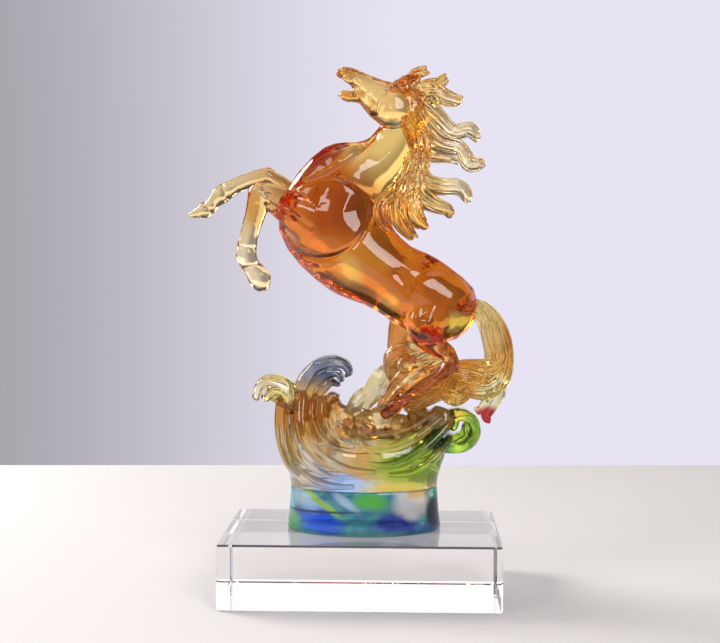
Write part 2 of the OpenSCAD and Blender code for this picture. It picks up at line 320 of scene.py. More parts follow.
def to_mesh(bm: bmesh.types.BMesh, name: str) -> bpy.types.Mesh:
    """Turn a casting's bmesh into a mesh on the plinth.

    Args:
        bm: The casting in millimetres, which is freed.
        name: Name of the mesh.

    Returns:
        The mesh in metres.
    """
    place = Matrix.Translation((0, 0, plinth_top())) @ Matrix.Scale(MM, 4)
    bmesh.ops.transform(bm, matrix=place, verts=bm.verts)
    mesh = bpy.data.meshes.new(name)
    bm.to_mesh(mesh)
    bm.free()
    return mesh


def settled(obj: bpy.types.Object) -> None:
    """Apply an object's modifiers to its mesh.

    Args:
        obj: The object, which keeps its name.
    """
    graph = bpy.context.evaluated_depsgraph_get()
    graph.update()
    mesh = bpy.data.meshes.new_from_object(obj.evaluated_get(graph))
    obj.modifiers.clear()
    obj.data = mesh
    mesh.name = obj.name


def welded(name: str, parts: Sequence[bmesh.types.BMesh]) -> bpy.types.Object:
    """Join closed forms into one closed piece without inner walls.

    Args:
        name: Name of the piece.
        parts: The closed forms, in millimetres.

    Returns:
        The piece, linked to the scene.
    """
    scene = bpy.context.scene.collection
    rest = bpy.data.collections.new(name + "_parts")
    objects = []
    for i, bm in enumerate(parts):
        part = bpy.data.objects.new(f"{name}_{i}", to_mesh(bm, name))
        (rest.objects if i else scene.objects).link(part)
        objects.append(part)
    whole = objects[0]
    if len(objects) > 1:
        union = whole.modifiers.new("weld", "BOOLEAN")
        union.operation = "UNION"
        union.solver = "MANIFOLD"
        union.operand_type = "COLLECTION"
        union.collection = rest
        settled(whole)
    for part in objects[1:]:
        bpy.data.objects.remove(part)
    bpy.data.collections.remove(rest)
    whole.name = name
    return whole


def smooth(obj: bpy.types.Object, crease: float = 38.0) -> None:
    """Shade a piece smoothly, with a crease where faces meet at more than an angle."""
    obj.data.shade_smooth()
    obj.data.set_sharp_from_angle(angle=math.radians(crease))


def issue(
    obj: bpy.types.Object, nodes: Sequence[str], material: bpy.types.Material
) -> None:
    """Hand a finished piece to the frame.

    Args:
        obj: The piece.
        nodes: CAD nodes that it stands for.
        material: Its glass.
    """
    obj.data.materials.clear()
    obj.data.materials.append(material)
    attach(obj, "root")
    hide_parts(*nodes)
    tris = sum(len(p.vertices) - 2 for p in obj.data.polygons)
    log.info("%s: %d triangles, stands for %s", obj.name, tris, ", ".join(nodes))


# ---- Glass finishes ----


class Sockets:
    """Short ways to add and join nodes in one tree."""

    def __init__(self, tree: bpy.types.NodeTree) -> None:
        """Start on an empty tree."""
        self.tree = tree

    def add(self, kind: str, **settings: object) -> bpy.types.Node:
        """Add a node.

        Args:
            kind: The node's type.
            settings: Its properties.

        Returns:
            The new node.
        """
        node = self.tree.nodes.new(kind)
        for key, value in settings.items():
            setattr(node, key, value)
        return node

    def feed(self, socket: bpy.types.NodeSocket, value: object) -> None:
        """Link a socket to another one, or set its value.

        Args:
            socket: The input socket.
            value: An output socket, or a constant.
        """
        if isinstance(value, bpy.types.NodeSocket):
            self.tree.links.new(value, socket)
        else:
            socket.default_value = value

    def maths(self, operation: str, *values: object) -> bpy.types.NodeSocket:
        """Work out a number.

        Args:
            operation: The kind of sum.
            values: Sockets or constants, in order.

        Returns:
            The result's socket.
        """
        node = self.add("ShaderNodeMath", operation=operation)
        for socket, value in zip(node.inputs, values):
            self.feed(socket, value)
        return node.outputs[0]

    def vector(self, operation: str, *values: object) -> bpy.types.NodeSocket:
        """Work out a vector, or a length.

        Args:
            operation: The kind of sum.
            values: Sockets or constants, in order.

        Returns:
            The result's socket.
        """
        node = self.add("ShaderNodeVectorMath", operation=operation)
        for socket, value in zip(node.inputs, values):
            self.feed(socket, value)
        return node.outputs["Value" if operation == "LENGTH" else "Vector"]

    def mixed(self, factor: object, one: object, other: object) -> bpy.types.NodeSocket:
        """Mix two colours.

        Args:
            factor: Share of the second colour.
            one: The first colour.
            other: The second colour.

        Returns:
            The mixed colour's socket.
        """
        node = self.add("ShaderNodeMix", data_type="RGBA")
        for name, value in (("Factor_Float", factor), ("A_Color", one), ("B_Color", other)):
            self.feed(next(s for s in node.inputs if s.identifier == name), value)
        return next(s for s in node.outputs if s.identifier == "Result_Color")

    def ramp(self, value: object, low: float, high: float) -> bpy.types.NodeSocket:
        """Turn a value into a soft step.

        Args:
            value: The value's socket.
            low: Where the step is 0.
            high: Where the step is 1, above or below low.

        Returns:
            The step's socket.
        """
        node = self.add("ShaderNodeMapRange", interpolation_type="SMOOTHSTEP")
        self.feed(node.inputs["Value"], value)
        node.inputs["From Min"].default_value = low
        node.inputs["From Max"].default_value = high
        return node.outputs["Result"]


def group_sockets(
    tree: bpy.types.NodeTree, inputs: dict[str, str], outputs: dict[str, str]
) -> tuple[bpy.types.Node, bpy.types.Node]:
    """Give a shader node group its sockets.

    Args:
        tree: The group.
        inputs: Socket types by name.
        outputs: Socket types by name.

    Returns:
        The group's input and output nodes.
    """
    for name, kind in inputs.items():
        tree.interface.new_socket(name, in_out="INPUT", socket_type="NodeSocket" + kind)
    for name, kind in outputs.items():
        tree.interface.new_socket(name, in_out="OUTPUT", socket_type="NodeSocket" + kind)
    return tree.nodes.new("NodeGroupInput"), tree.nodes.new("NodeGroupOutput")


class GlassGroups:
    """The shader node groups that the glass finishes share."""

    def __init__(self) -> None:
        """Build each group once."""
        self.cloud = self.build_cloud()
        self.streak = self.build_streak()
        self.ripple = self.build_ripple()

    def build_cloud(self) -> bpy.types.NodeTree:
        """Build the group that lays a soft cloud of colour over another.

        Returns:
            The group.
        """
        tree = bpy.data.node_groups.new("colour_cloud", "ShaderNodeTree")
        into, out = group_sockets(
            tree,
            {
                "Colour": "Color",
                "Cloud": "Color",
                "Centre": "Vector",
                "Reach": "Vector",
                "Strength": "Float",
                "Ragged": "Float",
                "Grain": "Float",
                "Lean": "Float",
            },
            {"Colour": "Color"},
        )
        s = Sockets(tree)
        place = s.add("ShaderNodeTexCoord").outputs["Object"]
        noise = s.add("ShaderNodeTexNoise")
        noise.inputs["Detail"].default_value = 3.0
        s.feed(noise.inputs["Vector"], place)
        s.feed(noise.inputs["Scale"], into.outputs["Grain"])
        turned = s.add("ShaderNodeVectorRotate", rotation_type="Y_AXIS")
        s.feed(turned.inputs["Vector"], s.vector("SUBTRACT", place, into.outputs["Centre"]))
        s.feed(turned.inputs["Angle"], into.outputs["Lean"])
        scaled = s.vector("DIVIDE", turned.outputs[0], into.outputs["Reach"])
        wander = s.vector("SUBTRACT", noise.outputs["Color"], (0.5, 0.5, 0.5))
        scale = s.add("ShaderNodeVectorMath", operation="SCALE")
        s.feed(scale.inputs[0], wander)
        s.feed(scale.inputs["Scale"], into.outputs["Ragged"])
        far = s.vector("LENGTH", s.vector("ADD", scaled, scale.outputs[0]))
        mask = s.maths("MULTIPLY", s.ramp(far, 1.25, 0.6), into.outputs["Strength"])
        mixed = s.mixed(mask, into.outputs["Colour"], into.outputs["Cloud"])
        s.feed(out.inputs["Colour"], mixed)
        return tree

    def build_streak(self) -> bpy.types.NodeTree:
        """Build the group that marbles one colour with another along a stretched noise.

        Returns:
            The group.
        """
        tree = bpy.data.node_groups.new("marbling", "ShaderNodeTree")
        into, out = group_sockets(
            tree,
            {
                "Colour": "Color",
                "Vein": "Color",
                "Stretch": "Vector",
                "Low": "Float",
                "High": "Float",
                "Strength": "Float",
                "Lean": "Float",
            },
            {"Colour": "Color"},
        )
        s = Sockets(tree)
        place = s.add("ShaderNodeTexCoord").outputs["Object"]
        noise = s.add("ShaderNodeTexNoise")
        noise.inputs["Scale"].default_value = 1.0
        noise.inputs["Detail"].default_value = 2.0
        noise.inputs["Distortion"].default_value = 0.8
        turned = s.add("ShaderNodeVectorRotate", rotation_type="Y_AXIS")
        s.feed(turned.inputs["Vector"], place)
        s.feed(turned.inputs["Angle"], into.outputs["Lean"])
        stretched = s.vector("MULTIPLY", turned.outputs[0], into.outputs["Stretch"])
        s.feed(noise.inputs["Vector"], stretched)
        span = s.add("ShaderNodeMapRange", interpolation_type="SMOOTHSTEP")
        s.feed(span.inputs["Value"], noise.outputs["Fac"])
        s.feed(span.inputs["From Min"], into.outputs["Low"])
        s.feed(span.inputs["From Max"], into.outputs["High"])
        mask = s.maths("MULTIPLY", span.outputs["Result"], into.outputs["Strength"])
        s.feed(out.inputs["Colour"], s.mixed(mask, into.outputs["Colour"], into.outputs["Vein"]))
        return tree

    def build_ripple(self) -> bpy.types.NodeTree:
        """Build the group that gives the height of a cast surface's slight waviness.

        Returns:
            The group.
        """
        tree = bpy.data.node_groups.new("cast_ripple", "ShaderNodeTree")
        into, out = group_sockets(
            tree, {"Broad": "Float", "Fine": "Float", "Share": "Float"}, {"Height": "Float"}
        )
        s = Sockets(tree)
        place = s.add("ShaderNodeTexCoord").outputs["Object"]
        heights = []
        for name in ("Broad", "Fine"):
            noise = s.add("ShaderNodeTexNoise")
            noise.inputs["Detail"].default_value = 1.0
            s.feed(noise.inputs["Vector"], place)
            s.feed(noise.inputs["Scale"], into.outputs[name])
            heights.append(noise.outputs["Fac"])
        fine = s.maths("MULTIPLY", heights[1], into.outputs["Share"])
        s.feed(out.inputs["Height"], s.maths("ADD", heights[0], fine))
        return tree


@dataclass(frozen=True)
class Cloud:
    """A cloud of colour in the glass; a few of them are painted shade. Centre and reach are mm from
    the plinth's top face.
    """

    colour: Colour
    centre: Point
    reach: Point
    strength: float = 1.0
    ragged: float = 0.6
    grain: float = 60.0
    lean: float = 0.0


@dataclass(frozen=True)
class Vein:
    """Marbling: its colour, how often it comes along each axis, and how much there is."""

    colour: Colour
    stretch: Point
    low: float = 0.45
    high: float = 0.65
    strength: float = 1.0
    lean: float = 0.0


@dataclass(frozen=True)
class Glass:
    """A cast or polished glass finish."""

    name: str
    colour: Colour
    veins: tuple[Vein, ...] = ()
    clouds: tuple[Cloud, ...] = ()
    transmission: float = 1.0
    roughness: float = 0.02
    ior: float = 1.5
    absorbed: Optional[Colour] = None
    density: float = 0.0
    ripple: float = 0.15
    broad: float = 90.0
    fine: float = 420.0
    fine_share: float = 0.12
    ripple_height: float = 0.001

    def build(self, groups: GlassGroups) -> bpy.types.Material:
        """Make the material.

        Args:
            groups: The shared shader node groups.

        Returns:
            The finished material.
        """
        material = bpy.data.materials.new(self.name)
        material.use_nodes = True
        tree = material.node_tree
        shader = tree.nodes["Principled BSDF"]
        s = Sockets(tree)
        colour: object = (*self.colour, 1.0)
        for vein in self.veins:
            node = s.add("ShaderNodeGroup", node_tree=groups.streak)
            s.feed(node.inputs["Colour"], colour)
            node.inputs["Vein"].default_value = (*vein.colour, 1.0)
            node.inputs["Stretch"].default_value = vein.stretch
            node.inputs["Low"].default_value = vein.low
            node.inputs["High"].default_value = vein.high
            node.inputs["Strength"].default_value = vein.strength
            node.inputs["Lean"].default_value = math.radians(vein.lean)
            colour = node.outputs["Colour"]
        lift = plinth_top()
        for cloud in self.clouds:
            node = s.add("ShaderNodeGroup", node_tree=groups.cloud)
            s.feed(node.inputs["Colour"], colour)
            x, y, z = (c * MM for c in cloud.centre)
            node.inputs["Cloud"].default_value = (*cloud.colour, 1.0)
            node.inputs["Centre"].default_value = (x, y, z + lift)
            node.inputs["Reach"].default_value = tuple(c * MM for c in cloud.reach)
            node.inputs["Strength"].default_value = cloud.strength
            node.inputs["Ragged"].default_value = cloud.ragged
            node.inputs["Grain"].default_value = cloud.grain
            node.inputs["Lean"].default_value = math.radians(cloud.lean)
            colour = node.outputs["Colour"]
        s.feed(shader.inputs["Base Color"], colour)
        shader.inputs["Roughness"].default_value = self.roughness
        shader.inputs["IOR"].default_value = self.ior
        shader.inputs["Transmission Weight"].default_value = self.transmission
        if self.ripple:
            node = s.add("ShaderNodeGroup", node_tree=groups.ripple)
            node.inputs["Broad"].default_value = self.broad
            node.inputs["Fine"].default_value = self.fine
            node.inputs["Share"].default_value = self.fine_share
            bump = s.add("ShaderNodeBump")
            bump.inputs["Strength"].default_value = self.ripple
            bump.inputs["Distance"].default_value = self.ripple_height
            s.feed(bump.inputs["Height"], node.outputs["Height"])
            s.feed(shader.inputs["Normal"], bump.outputs["Normal"])
        if self.absorbed:
            volume = s.add("ShaderNodeVolumeAbsorption")
            volume.inputs["Color"].default_value = (*self.absorbed, 1.0)
            volume.inputs["Density"].default_value = self.density
            s.feed(tree.nodes["Material Output"].inputs["Volume"], volume.outputs["Volume"])
        return material


PALE: Colour = (0.95, 0.92, 0.80)
STRAW: Colour = (0.86, 0.74, 0.38)
GOLD: Colour = (0.82, 0.44, 0.06)
AMBER: Colour = (0.70, 0.29, 0.03)
RUST: Colour = (0.48, 0.13, 0.015)
LAVENDER: Colour = (0.40, 0.60, 1.0)

CLEAR = Glass(
    "clear_optical_glass",
    (0.985, 0.985, 0.99),
    veins=(Vein((0.97, 0.965, 0.985), (30, 30, 30)),),
    roughness=0.0,
    ripple=0.0,
)
FILM = Glass(
    "clear_bond",
    (0.98, 0.98, 0.99),
    veins=(Vein((0.95, 0.95, 0.97), (90, 90, 90)),),
    roughness=0.05,
    ior=1.49,
    ripple=0.1,
)
HORSE = Glass(
    "horse_glass",
    AMBER,
    veins=(
        Vein(RUST, (26, 20, 12), 0.44, 0.66, 0.7, 40),
        Vein((0.78, 0.42, 0.05), (30, 24, 14), 0.54, 0.70, 0.7, 40),
    ),
    clouds=(
        Cloud(RUST, (-14, 0, 177), (21, 40, 19), 0.95, 0.5, 50),
        Cloud((0.84, 0.50, 0.06), (4, 0, 151), (16, 30, 6), 0.8, 0.6, 50, -40),
        Cloud((1.0, 0.86, 0.30), (12, 0, 214), (26, 40, 36), 1.0, 0.3, 40, 30),
        Cloud((0.97, 0.80, 0.32), (2, 0, 232), (30, 30, 17), 0.8, 0.3, 40),
        Cloud((0.90, 0.62, 0.14), (-11, 0, 246), (4, 30, 6), 0.7, 0.4, 90),
        Cloud((0.80, 0.38, 0.05), (-6, 0, 237), (9, 30, 2.6), 0.9, 0.4, 90, 10),
        Cloud((0.74, 0.28, 0.03), (22, 0, 241), (9, 30, 4), 0.8, 0.6, 120),
        # Painted shade: dark marks at the eye, in the nostril and along the cheek crease stand in for
        # the shading of the carved relief.
        Cloud((0.30, 0.07, 0.01), (17.5, 0, 241.5), (3.0, 30, 1.2), 0.9, 0.3, 120, -10),
        Cloud((0.50, 0.16, 0.02), (-9, 0, 249.5), (1.8, 30, 1.1), 0.9, 0.3, 120),
        Cloud((0.60, 0.24, 0.03), (6, 0, 228), (2.0, 30, 7), 0.8, 0.4, 90),
        # Painted shade: a dark burgundy line down the front of the neck, where the glass's edge looks
        # dark.
        Cloud((0.30, 0.05, 0.05), (-21, 0, 200.5), (17, 40, 3.2), 1.0, 0.4, 60, 34),
        Cloud(STRAW, (-86, 0, 175), (44, 40, 60), 1.0, 0.2, 40),
        Cloud((0.95, 0.88, 0.58), (-57, 0, 146), (16, 40, 20), 1.0, 0.3),
        Cloud(GOLD, (-58, 0, 178), (4, 40, 12), 0.8, 0.5, 60),
        Cloud((0.80, 0.42, 0.14), (34, 0, 84), (34, 40, 26), 1.0, 0.3, 40),
        Cloud((0.60, 0.62, 0.08), (51, 0, 114), (10, 30, 7), 1.0, 0.5, 60),
        Cloud((0.84, 0.72, 0.16), (-6, 0, 146), (7, 30, 11), 0.8, 0.6, 60, 30),
        Cloud((0.80, 0.66, 0.14), (15, 0, 127), (8, 30, 4), 0.7, 0.6, 60),
    ),
    roughness=0.03,
    absorbed=(0.95, 0.55, 0.20),
    density=28.0,
)
CREST = Glass(
    "pale_crest",
    (0.86, 0.70, 0.36),
    veins=(Vein(PALE, (60, 60, 30), 0.46, 0.58),),
    clouds=(Cloud((0.72, 0.60, 0.14), (-46, 0, 73), (8, 20, 5)),),
    roughness=0.03,
)
BLUE = Glass(
    "smoky_crest",
    (0.36, 0.40, 0.45),
    veins=(Vein((0.03, 0.07, 0.18), (60, 60, 40), 0.44, 0.56, 0.95, 30),),
    clouds=(Cloud(GOLD, (-32, 0, 60), (24, 20, 24), 1.0, 0.4, 60, 35),),
    transmission=0.85,
    roughness=0.03,
)
PETAL = Glass(
    "lemon_petal",
    (1.0, 0.90, 0.50),
    veins=(Vein(PALE, (70, 70, 70)),),
    transmission=0.7,
    roughness=0.05,
)
ROCK = Glass(
    "amber_rock",
    (0.93, 0.62, 0.18),
    veins=(
        Vein((0.96, 0.88, 0.56), (80, 80, 80), 0.48, 0.60),
        Vein(RUST, (110, 110, 110), 0.54, 0.62, 0.85),
    ),
    transmission=0.85,
    roughness=0.04,
)
FOAM = Glass(
    "amber_foam",
    (0.96, 0.64, 0.20),
    veins=(
        Vein((0.95, 0.82, 0.46), (60, 60, 60), 0.46, 0.60),
        Vein((0.62, 0.22, 0.04), (110, 110, 110), 0.54, 0.62, 0.9, 30),
    ),
    transmission=0.85,
    roughness=0.03,
)
CURL = Glass(
    "green_scroll",
    (0.42, 0.66, 0.06),
    veins=(Vein((0.16, 0.36, 0.03), (90, 90, 90), 0.48, 0.60, 0.9),),
    clouds=(
        Cloud((0.02, 0.12, 0.07), (44, 0, 48), (8, 20, 5)),
        Cloud((0.88, 0.70, 0.08), (48, 0, 64), (11, 20, 4)),
    ),
    roughness=0.03,
)
WATER = Glass(
    "wave_glass",
    (0.80, 0.58, 0.26),
    veins=(
        Vein((0.66, 0.30, 0.05), (60, 30, 18), 0.46, 0.60, 0.9, 20),
        Vein(PALE, (50, 30, 16), 0.58, 0.66, 0.8, 30),
    ),
    clouds=(
        Cloud((0.74, 0.30, 0.04), (-30, 0, 62), (16, 60, 14), 0.9, 0.5, 60),
        # Painted shade: a thin dark line in the groove between the ribs on the wave's left flank.
        Cloud((0.16, 0.10, 0.06), (-38.8, 0, 62), (1.6, 60, 9), 0.8, 0.5, 60),
        Cloud((0.10, 0.10, 0.14), (-26, 0, 40), (11, 60, 1.6), 0.75, 0.7, 60, -40),
        Cloud((0.95, 0.93, 0.86), (-31, 0, 45), (13, 60, 1.8), 0.85, 0.7, 60, -52),
        Cloud((0.34, 0.20, 0.08), (-15, 0, 47), (4, 60, 5), 0.8, 0.7, 60, -40),
        Cloud((0.92, 0.90, 0.86), (-34, 0, 31), (14, 60, 8), 0.8, 0.4, 60, 30),
        Cloud(LAVENDER, (-8, 0, 28), (19, 60, 8), 1.0, 0.8),
        Cloud((0.88, 0.44, 0.07), (-1, 0, 38), (11, 60, 7), 1.0, 0.6, 60, -30),
        Cloud((0.38, 0.60, 0.04), (30, 0, 36), (28, 60, 12), 1.0, 0.4),
        Cloud((0.70, 0.62, 0.16), (22, 0, 50), (24, 60, 5), 0.9, 0.5, 60, 15),
        Cloud((0.10, 0.20, 0.03), (30, 0, 46), (22, 60, 3.4), 0.9, 0.7, 60, 24),
        Cloud((0.12, 0.22, 0.04), (42, 0, 52), (9, 60, 7), 0.9, 0.7, 60, 50),
        Cloud((0.80, 0.66, 0.12), (16, 0, 26), (20, 60, 3), 0.8, 0.6),
    ),
    transmission=0.78,
    roughness=0.03,
)
MANE = Glass(
    "mane_glass",
    (0.92, 0.68, 0.26),
    veins=(Vein((0.84, 0.38, 0.06), (110, 110, 110), 0.50, 0.60, 0.75, 45),),
    clouds=(
        Cloud((0.97, 0.88, 0.60), (60, 0, 212), (20, 40, 36), 0.8, 0.5),
        Cloud((0.97, 0.88, 0.60), (58, 0, 182), (12, 40, 12), 0.7),
        Cloud((0.88, 0.46, 0.08), (24, 0, 168), (20, 40, 12), 0.6),
    ),
    transmission=0.96,
    roughness=0.03,
)
TAIL = Glass(
    "tail_glass",
    (0.90, 0.54, 0.13),
    veins=(Vein((0.94, 0.76, 0.30), (50, 50, 30), 0.48, 0.62, 0.8, 45),),
    clouds=(
        Cloud((0.88, 0.84, 0.46), (74, 0, 75), (12, 40, 10), 0.9),
        Cloud((0.92, 0.78, 0.34), (66, 0, 110), (5, 40, 16), 0.9),
        Cloud((0.60, 0.20, 0.04), (80, 0, 112), (3, 40, 14), 0.8),
        Cloud((0.86, 0.80, 0.26), (50, 0, 66), (12, 40, 6), 0.9),
    ),
    transmission=0.9,
    roughness=0.03,
)
TIP = Glass(
    "red_tip",
    (0.90, 0.84, 0.46),
    veins=(Vein(PALE, (90, 90, 90)),),
    clouds=(Cloud((0.50, 0.04, 0.04), (69, 0, 62), (8, 30, 6), 1.0, 0.4, 90),),
    roughness=0.03,
)
FOOT = Glass(
    "foot_glass",
    (0.12, 0.50, 0.42),
    veins=(Vein((0.03, 0.10, 0.50), (26, 26, 60), 0.46, 0.60, 0.7, 35),),
    clouds=(
        Cloud((0.03, 0.14, 1.0), (-19, 0, 7), (13, 60, 8), 1.0, 1.3, 50),
        Cloud((0.02, 0.06, 0.42), (20, 0, 7), (17, 60, 8), 1.0, 1.3, 50),
        Cloud((0.55, 0.80, 1.0), (-29, 0, 18), (9, 60, 6), 1.0, 1.3, 55, -30),
        Cloud((0.55, 0.72, 1.0), (-9, 0, 19), (10, 60, 3), 1.0, 1.3, 55, -30),
        Cloud((0.14, 0.62, 0.06), (6, 0, 19), (12, 60, 5), 1.0, 1.3, 55),
        Cloud((0.50, 0.85, 0.06), (-22, 0, 18), (13, 60, 2.4), 1.0, 1.5, 60, -35),
        Cloud((1.0, 0.96, 0.86), (27, 0, 18), (10, 60, 9), 1.0, 1.3, 55, -50),
        Cloud((0.98, 0.62, 0.18), (30, 0, 22), (6, 60, 3), 0.9, 1.2, 60),
        Cloud((0.01, 0.02, 0.05), (40, 0, 11), (5, 60, 9), 1.0, 0.5, 70),
        Cloud((0.20, 0.62, 0.28), (-38, 0, 6), (6, 60, 8), 1.0, 1.3, 55),
        Cloud((0.22, 0.76, 0.84), (-40, 0, 17), (4, 60, 7), 1.0, 0.4, 80),
        Cloud((0.02, 0.04, 0.10), (-20, 0, 12.6), (24, 60, 0.8), 0.85, 0.9, 50, 2),
    ),
    transmission=0.55,
    roughness=0.04,
)


# ---- The horse ----


@dataclass(frozen=True)
class Dome:
    """A swelling with a crisp edge: centre and radius in the XZ plane, height in mm."""

    centre: tuple[float, float]
    radius: float
    height: float
    side: Side = Side.BOTH
    edge: float = 0.25


@dataclass(frozen=True)
class Crease:
    """A line pressed into the surface, or raised where the depth is negative."""

    line: tuple[tuple[float, float], ...]
    depth: float
    width: float
    side: Side = Side.BOTH


@dataclass
class Horse:
    """The horse, cast in one piece: trunk, neck, head, ears and legs."""

    voxel: float = 0.8
    passes: int = 7
    nodes: tuple[str, ...] = (
        "rump", "barrel", "chest", "neck", "head", "lower_jaw", "ears",
        "fore_leg_near", "fore_leg_far", "hind_leg_near", "hind_leg_far",
    )
    domes: tuple[Dome, ...] = (
        Dome((-18, 172), 24, 1.6),
        Dome((42, 123), 20.5, 1.4),
        Dome((17, 229), 9.5, 1.4, edge=0.3),
        Dome((18, 241.5), 2.6, 1.6, edge=0.6),
        Dome((-9.5, 251), 2.2, 0.9, edge=0.6),
        Dome((-8, 237.5), 5, 1.3, edge=0.6),
        Dome((-8, 246.5), 4, 0.8, edge=0.6),
        Dome((-15, 203), 5, 0.6, Side.NEAR, 0.8),
    )
    creases: tuple[Crease, ...] = (
        Crease(((-36, 152), (-22, 149), (-8, 153), (2, 164), (6, 178), (0, 186), (-18, 193),
            (-36, 187)), 1.3, 1.5),
        Crease(((7, 214), (-8, 199), (-26, 190)), 0.9, 2.2),
        Crease(((10, 219), (0, 207), (-13, 197), (-30, 190)), 1.0, 1.4),
        Crease(((8, 226), (12, 219), (22, 219.5), (27, 226)), 1.0, 1.0),
        Crease(((-11, 243.5), (-3, 241.5), (2, 238.5)), 1.2, 0.9),
        Crease(((-10.5, 247.5), (-8, 250), (-6, 248.5)), 1.0, 0.8),
        Crease(((14, 239.5), (20, 239), (25, 241)), 1.1, 0.8),
        Crease(((13, 243), (17, 245.5), (22, 244.5)), 1.1, 0.8),
        Crease(((8, 245), (0, 248.5), (-5, 250)), 0.6, 0.9),
        Crease(((5, 237), (9, 232), (8, 227)), 0.7, 1.2),
        Crease(((20, 141), (27, 128), (24, 112)), 1.0, 2.4),
        Crease(((-63, 143.5), (-57, 146), (-52, 145)), 0.9, 1.0),
        Crease(((-66, 156), (-56, 154)), 0.6, 1.2),
        Crease(((-89, 180), (-84, 173)), 0.9, 1.0),
        Crease(((-79, 191), (-76, 181)), 0.6, 1.2),
        Crease(((-54, 190), (-48, 179), (-42, 174)), 0.8, 1.2),
        Crease(((-50, 178), (-38, 174), (-27, 166)), 0.9, 1.4, Side.NEAR),
        Crease(((-50, 184), (-38, 181), (-26, 178)), 0.8, 1.2, Side.NEAR),
        Crease(((20, 76), (24, 70)), 0.7, 1.0),
        Crease(((44, 94), (40, 88), (30, 81)), 0.7, 1.0, Side.NEAR),
    )

    def build(self, cad: dict[str, bpy.types.Object]) -> bpy.types.Object:
        """Make the horse from copies of its CAD solids.

        Args:
            cad: The CAD objects by node.

        Returns:
            The smooth, marked horse.
        """
        bm = bmesh.new()
        for node in self.nodes:
            bm.from_mesh(cad[node].data)
        bmesh.ops.remove_doubles(bm, verts=bm.verts, dist=1e-6)
        mesh = bpy.data.meshes.new("horse")
        bm.to_mesh(mesh)
        bm.free()
        horse = bpy.data.objects.new("horse", mesh)
        bpy.context.scene.collection.objects.link(horse)
        skin = horse.modifiers.new("skin", "REMESH")
        skin.mode = "VOXEL"
        skin.voxel_size = self.voxel * MM
        ease = horse.modifiers.new("ease", "SMOOTH")
        ease.factor = 0.5
        ease.iterations = self.passes
        settled(horse)
        self.mark(horse.data)
        smooth(horse, 60)
        return horse

    def mark(self, mesh: bpy.types.Mesh) -> None:
        """Press the domes and creases into the surface along its normals.

        Args:
            mesh: The horse's mesh, in metres.
        """
        count = len(mesh.vertices)
        place = np.empty(count * 3)
        normal = np.empty(count * 3)
        mesh.vertices.foreach_get("co", place)
        mesh.vertices.foreach_get("normal", normal)
        place, normal = place.reshape(-1, 3), normal.reshape(-1, 3)
        flat = np.stack([place[:, 0], place[:, 2] - plinth_top()], axis=1) / MM
        # The marks fade out where the surface turns away from the horse's sides.
        facing = np.clip(np.abs(normal[:, 1]) * 2.2 - 0.25, 0, 1)
        move = np.zeros(count)
        for dome in self.domes:
            away = np.hypot(flat[:, 0] - dome.centre[0], flat[:, 1] - dome.centre[1]) / dome.radius
            rise = np.clip((1 - away) / dome.edge, 0, 1)
            move += dome.height * rise * rise * (3 - 2 * rise) * self.beside(place, dome.side)
        for crease in self.creases:
            away = self.distance(flat, crease.line)
            depth = crease.depth * np.exp(-((away / crease.width) ** 2))
            move -= depth * self.beside(place, crease.side)
        place += normal * (move * facing * MM)[:, None]
        mesh.vertices.foreach_set("co", place.ravel())
        mesh.update()

    @staticmethod
    def beside(place: np.ndarray, side: Side) -> np.ndarray:
        """Tell which vertices lie on a side of the middle plane.

        Args:
            place: The vertices' places.
            side: The side.

        Returns:
            1 for each vertex on that side, and 0 for the others.
        """
        if side is Side.BOTH:
            return np.ones(len(place))
        return (place[:, 1] * side.value > 0).astype(float)

    @staticmethod
    def distance(flat: np.ndarray, line: Sequence[tuple[float, float]]) -> np.ndarray:
        """Measure how far each point is from a line of short straight runs.

        Args:
            flat: Points in the XZ plane, in mm.
            line: The line's corners.

        Returns:
            One distance for each point.
        """
        fine = Path(tuple((x, 0.0, z, 1.0, 1.0) for x, z in line))
        dots = [fine.at(u) for u in np.linspace(0, fine.last, 10 * fine.last + 1)]
        gaps = [np.hypot(flat[:, 0] - d[0], flat[:, 1] - d[2]) for d in dots]
        return np.min(gaps, axis=0)


# ---- Hair ----

HAIR = Profile(sides=18, lobes=3, depth=0.06, twist=0.8)


def locks(rows: Sequence[Sequence[Station]], strands: int, **settings: float) -> tuple[Lock, ...]:
    """Make locks alike from rows of stations.

    Args:
        rows: The stations of each lock.
        strands: Strands in each lock.
        settings: Other fields of the locks.

    Returns:
        The locks.
    """
    return tuple(Lock(Path(tuple(row)), strands, **settings) for row in rows)


